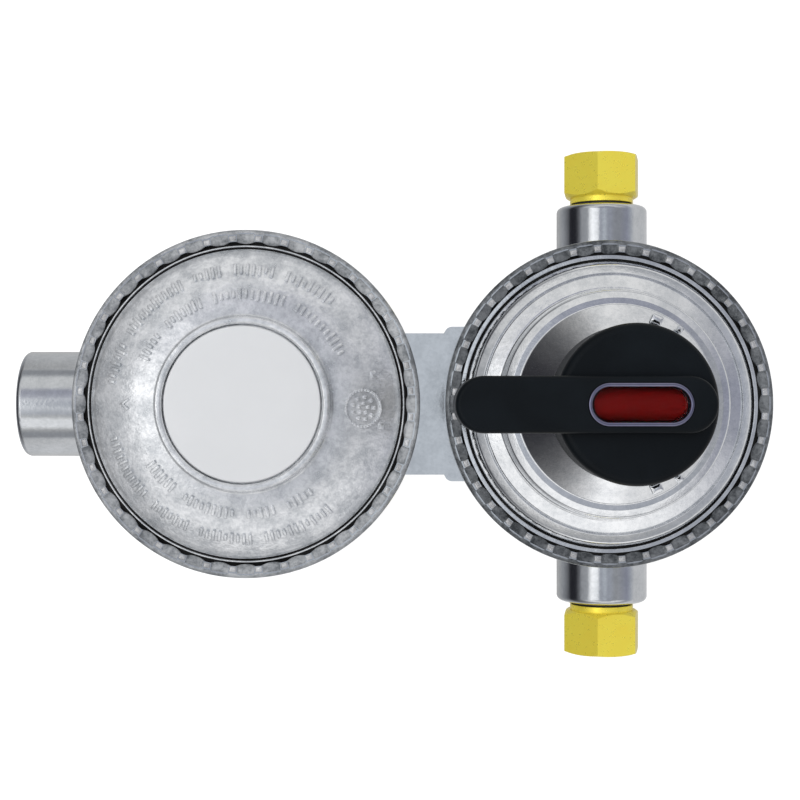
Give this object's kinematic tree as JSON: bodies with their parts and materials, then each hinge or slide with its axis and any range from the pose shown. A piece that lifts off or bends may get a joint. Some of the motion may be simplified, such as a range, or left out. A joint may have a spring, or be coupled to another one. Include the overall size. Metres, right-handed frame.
{
  "type": "two-stage changeover gas regulator",
  "caption": "Flat die-cast gas regulator: two round diaphragm housings side by side, opposed brass inlets, an end outlet, and a black lever knob with an indicator window.",
  "frame": {"origin": "on the plane of the flat backs, under the middle of the overall length and width", "axes": "+Z out of the covers towards the knob, +X from the outlet boss to the first stage, +Y towards one inlet"},
  "size_m": [0.1996, 0.135, 0.0821],
  "materials": {
    "die_cast_silver": "as-cast satin with bright edges",
    "die_cast_bright": "tumbled bright, mottled",
    "die_cast_satin": "satin, mottled, with raised casting marks",
    "cap_grey": "smooth light grey",
    "brass": "machined, warm yellow",
    "sintered_bronze": "porous",
    "black_plastic": "moulded satin black",
    "bezel_chrome": "polished",
    "clear_lens": "clear, polished",
    "signal_red": "painted",
    "signal_green": "painted",
    "rubber": "smooth nitrile",
    "bright_steel": "zinc plated",
    "cast_part": "plain die casting"
  },
  "bodies": {
    "castings": {"second_stage_body": "die_cast_silver", "second_stage_cover": "die_cast_satin", "closing_cap": "cap_grey", "vent_screen": "bright_steel", "adjusting_disc": "cast_part", "second_stage_spring": "bright_steel", "second_stage_diaphragm": "rubber", "second_lever_pin": "bright_steel", "interstage_nozzle": "brass", "interstage_seal": "rubber", "joint_dowels": "bright_steel", "first_stage_body": "die_cast_silver", "first_stage_cover": "die_cast_bright", "north_inlet_fitting": "brass", "south_inlet_fitting": "brass", "north_inlet_seal": "rubber", "south_inlet_seal": "rubber", "north_inlet_filter": "sintered_bronze", "south_inlet_filter": "sintered_bronze", "north_lever_pin": "bright_steel", "south_lever_pin": "bright_steel", "first_stage_spring": "bright_steel", "first_stage_diaphragm": "rubber"},
    "selector": {"selector_knob": "black_plastic", "window_bezel": "bezel_chrome", "indicator_window": "clear_lens", "selector_shaft": "bright_steel", "selector_cam": "cast_part", "shaft_seal": "rubber", "shaft_clip": "bright_steel", "thrust_washer": "bright_steel"},
    "indicator_drum": {"indicator_red": "signal_red", "indicator_green": "signal_green", "indicator_axle": "bright_steel"},
    "indicator_lift": {"indicator_rod": "bright_steel"},
    "first_diaphragm": {"first_stage_plate": "bright_steel", "first_stage_foot": "cast_part"},
    "north_lever_body": {"north_lever": "bright_steel"},
    "south_lever_body": {"south_lever": "bright_steel"},
    "north_valve": {"north_disc_holder": "cast_part", "north_valve_disc": "rubber"},
    "south_valve": {"south_disc_holder": "cast_part", "south_valve_disc": "rubber"},
    "second_diaphragm": {"second_stage_plate": "bright_steel", "diaphragm_clamp_ring": "bright_steel", "relief_spring": "bright_steel"},
    "relief_valve": {"relief_stem": "bright_steel", "relief_seat": "rubber", "relief_nut": "bright_steel"},
    "second_lever_body": {"second_lever": "bright_steel"},
    "second_valve": {"second_disc_holder": "cast_part", "second_valve_disc": "rubber"}
  },
  "joints": [
    {"name": "selector_turn", "type": "hinge", "parent": "castings", "child": "selector", "pos_m": [0.0567, 0, 0.06], "axis": [0, 0, 1], "range_deg": [-90, 90]},
    {"name": "first_diaphragm_lift", "type": "slide", "parent": "castings", "child": "first_diaphragm", "axis": [0, 0, 1], "range_m": [0, 0.003], "stiffness_N_per_m": 5000, "springref_m": -0.008, "deforming": ["first_stage_spring", "first_stage_diaphragm"]},
    {"name": "north_lever_tilt", "type": "hinge", "parent": "castings", "child": "north_lever_body", "pos_m": [0.0567, 0.011, 0.0105], "axis": [-1, 0, 0], "range_deg": [0, 15.63]},
    {"name": "south_lever_tilt", "type": "hinge", "parent": "castings", "child": "south_lever_body", "pos_m": [0.0567, -0.011, 0.0105], "axis": [1, 0, 0], "range_deg": [0, 15.63]},
    {"name": "north_valve_close", "type": "slide", "parent": "castings", "child": "north_valve", "axis": [0, 1, 0], "range_m": [0, 0.0015]},
    {"name": "south_valve_close", "type": "slide", "parent": "castings", "child": "south_valve", "axis": [0, -1, 0], "range_m": [0, 0.0015]},
    {"name": "indicator_rod_lift", "type": "slide", "parent": "selector", "child": "indicator_lift", "axis": [0, 0, 1], "range_m": [0, 0.003]},
    {"name": "indicator_drum_turn", "type": "hinge", "parent": "selector", "child": "indicator_drum", "pos_m": [0.0567, 0, 0.0752], "axis": [-1, 0, 0], "range_deg": [0, 128]},
    {"name": "second_diaphragm_lift", "type": "slide", "parent": "castings", "child": "second_diaphragm", "axis": [0, 0, 1], "range_m": [0, 0.004], "stiffness_N_per_m": 1000, "springref_m": -0.008, "deforming": ["second_stage_spring", "second_stage_diaphragm"]},
    {"name": "relief_open", "type": "slide", "parent": "second_diaphragm", "child": "relief_valve", "axis": [0, 0, -1], "range_m": [0, 0.0015], "stiffness_N_per_m": 800, "springref_m": -0.004, "deforming": ["relief_spring"]},
    {"name": "second_lever_tilt", "type": "hinge", "parent": "castings", "child": "second_lever_body", "pos_m": [-0.0208, 0, 0.0105], "axis": [0, 1, 0], "range_deg": [0, 12.74]},
    {"name": "second_valve_close", "type": "slide", "parent": "castings", "child": "second_valve", "axis": [1, 0, 0], "range_m": [0, 0.00122]}
  ],
  "couplings": [
    {"joint": "north_lever_tilt", "follows": "first_diaphragm_lift", "rad_per_m": 90.909},
    {"joint": "south_lever_tilt", "follows": "first_diaphragm_lift", "rad_per_m": 90.909},
    {"joint": "north_valve_close", "follows": "first_diaphragm_lift", "ratio": 0.5},
    {"joint": "south_valve_close", "follows": "first_diaphragm_lift", "ratio": 0.5},
    {"joint": "indicator_rod_lift", "follows": "first_diaphragm_lift", "ratio": 1},
    {"joint": "indicator_drum_turn", "follows": "first_diaphragm_lift", "rad_per_m": 744},
    {"joint": "second_lever_tilt", "follows": "second_diaphragm_lift", "rad_per_m": 55.555},
    {"joint": "second_valve_close", "follows": "second_diaphragm_lift", "ratio": 0.30555}
  ]
}
